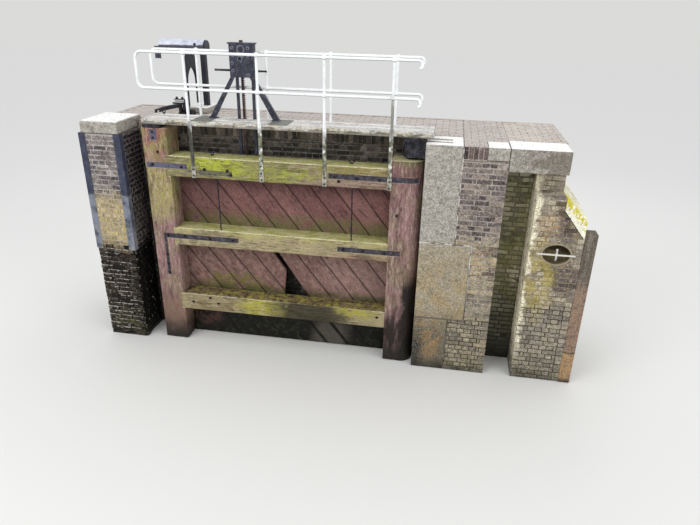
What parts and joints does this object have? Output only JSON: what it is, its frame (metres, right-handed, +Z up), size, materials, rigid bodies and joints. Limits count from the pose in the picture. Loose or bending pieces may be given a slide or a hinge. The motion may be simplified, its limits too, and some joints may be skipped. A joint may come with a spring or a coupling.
{
  "type": "lock gate",
  "caption": "Timber mitre gate of a lock, open in its brick and granite recess, with a railed walkway, paddle gear and a quay winch.",
  "frame": {"origin": "on the heel post's axis at the water line, on the underside of the pintle's base plate", "axes": "+X along the lock wall from the mitre post towards the hollow quoin, +Y into the lock wall, +Z up"},
  "size_m": [7.975, 2.092, 5.022],
  "materials": {
    "brick": "weathered brickwork with light joints, moss and lichen",
    "granite": "rough granite, stained",
    "wall_brick": "dark damp brickwork",
    "leaf_timber": "old red-brown paint on oak, mossy on top",
    "plank_timber": "old maroon paint on oak boards",
    "deck_timber": "weathered grey deck planks",
    "fender_timber": "weathered timber",
    "coping": "pale coping stone with yellow lichen",
    "wall_iron": "grey-blue painted iron, rusting",
    "hood_steel": "grey painted sheet steel",
    "iron": "black painted iron, rusting",
    "gear_iron": "dark charcoal paint",
    "rack_iron": "greased and rusty iron",
    "white_tube": "white painted tube",
    "plate_steel": "grey painted plate"
  },
  "bodies": {
    "root": {"left_pier": "brick", "left_capstone": "granite", "wall_irons": "wall_iron", "recess_wall": "wall_brick", "lower_quoin_stone": "granite", "middle_quoin_stone": "granite", "upper_quoin_stone": "granite", "brick_pier": "brick", "pier_block": "granite", "slot_wall": "wall_brick", "lintel": "granite", "end_pier": "brick", "shoulder_stone": "coping", "fender_post": "fender_timber", "neck_bearing": "iron", "pintle": "iron", "winch_base": "granite", "winch_trestle": "gear_iron", "winch_column": "gear_iron", "winch_hood": "hood_steel", "leaf_latch": "iron"},
    "leaf": {"mitre_post": "leaf_timber", "heel_post": "leaf_timber", "neck_pin": "iron", "top_rail": "leaf_timber", "upper_middle_rail": "leaf_timber", "lower_middle_rail": "leaf_timber", "planking": "plank_timber", "leaf_straps": "iron", "tie_rods": "iron", "ring_bolts": "iron", "deck_bearers": "iron", "deck_stringers": "deck_timber", "deck_planks": "deck_timber", "front_posts": "white_tube", "front_rails": "white_tube", "back_posts": "white_tube", "back_rails": "white_tube", "gear_housing": "gear_iron", "gear_cover": "gear_iron", "gear_legs": "gear_iron", "gear_plates": "plate_steel", "gear_posts": "gear_iron"},
    "rack": {"paddle_rack": "rack_iron"},
    "crank": {"crank_shaft": "iron"}
  },
  "joints": [
    {"name": "leaf_swing", "type": "hinge", "parent": "root", "child": "leaf", "pos_m": [0, 0, 0], "axis": [0, 0, 1], "range_deg": [0, 70]},
    {"name": "paddle_lift", "type": "slide", "parent": "leaf", "child": "rack", "axis": [0, 0, 1], "range_m": [0, 0.4]},
    {"name": "crank_turn", "type": "hinge", "parent": "leaf", "child": "crank", "pos_m": [-2.604, 0.135, 4.597], "axis": [1, 0, 0], "range_deg": [0, 1720]}
  ],
  "couplings": [
    {"joint": "crank_turn", "follows": "paddle_lift", "rad_per_m": 75}
  ]
}
